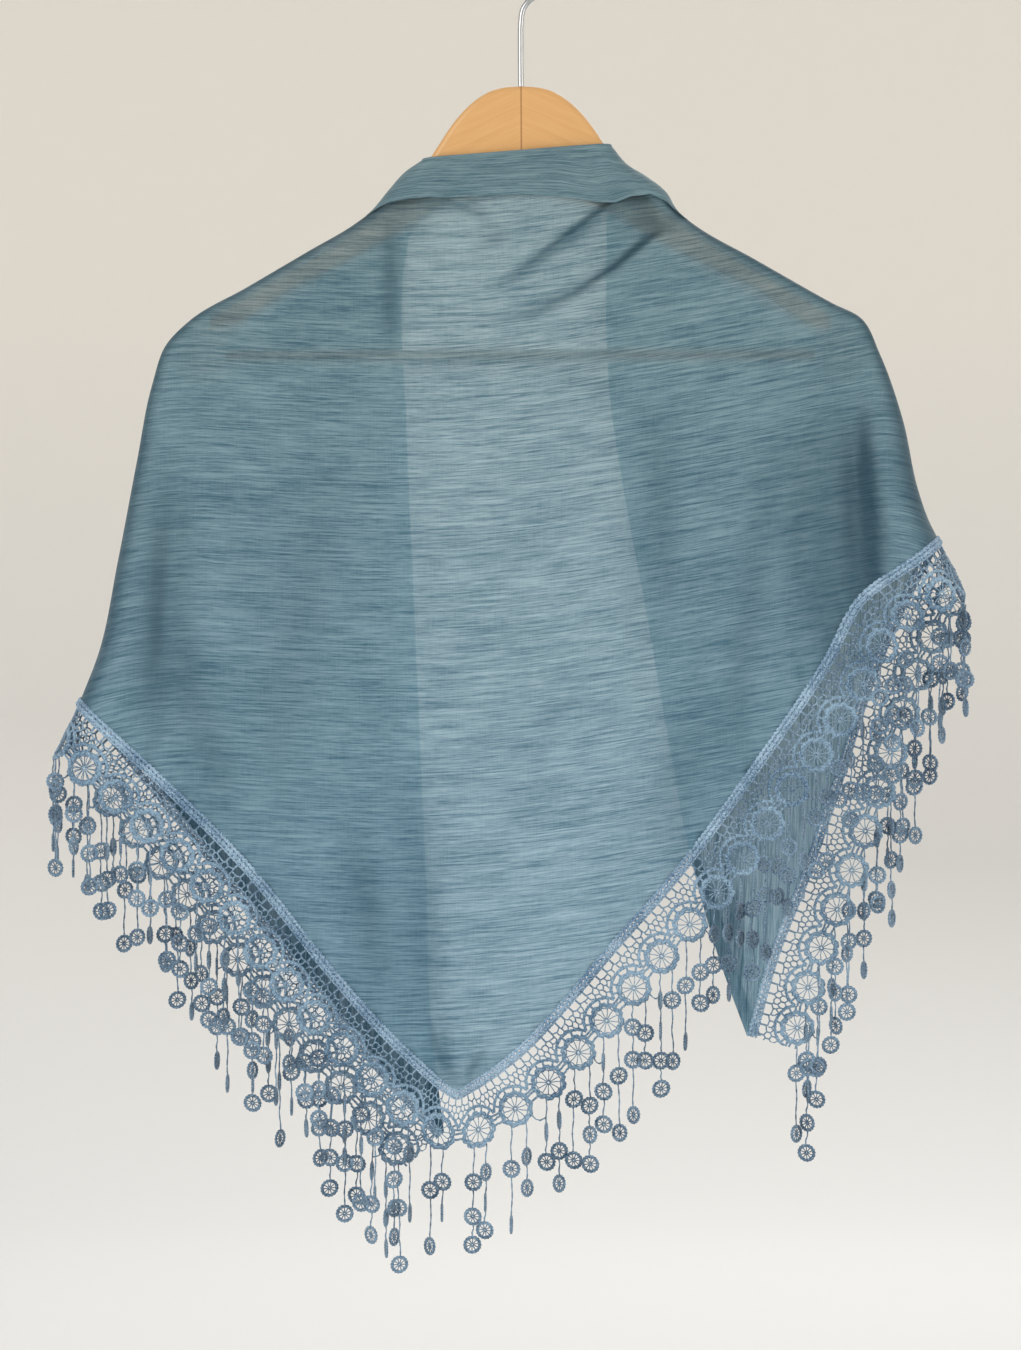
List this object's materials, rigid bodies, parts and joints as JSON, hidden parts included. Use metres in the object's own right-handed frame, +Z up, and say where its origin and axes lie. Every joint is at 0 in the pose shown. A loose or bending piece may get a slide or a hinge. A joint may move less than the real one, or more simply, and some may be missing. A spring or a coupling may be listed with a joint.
{
  "type": "silk triangle scarf with its wooden clothes hanger",
  "caption": "Sheer triangle scarf with a turned-down collar edge, a lace band and hanging strings of discs, draped over a wooden clothes hanger with a wire hook.",
  "frame": {"origin": "inner top of the hanger's hook, where a rail carries it", "axes": "+Z up, +X along the hanger's bar toward the viewer's right, the scarf's point and middle panel on the -Y side, its two ends on the +Y side"},
  "size_m": [0.5735, 0.0708, 0.8316],
  "materials": {
    "silk_voile": "satin",
    "lace_thread": "matte",
    "hanger_wood": "satin",
    "hook_chrome": "polished"
  },
  "bodies": {
    "root": {"scarf_middle_panel": "silk_voile", "scarf_collar": "silk_voile", "scarf_left_end": "silk_voile", "scarf_right_end": "silk_voile", "lace_middle_left": "lace_thread", "lace_middle_right": "lace_thread", "lace_left_end": "lace_thread", "lace_right_end": "lace_thread", "fringe_middle_left": "lace_thread", "fringe_middle_right": "lace_thread", "fringe_left_end": "lace_thread", "fringe_right_end": "lace_thread", "hanger_wood": "hanger_wood", "hanger_bar": "hanger_wood", "hanger_hook": "hook_chrome"}
  },
  "joints": []
}
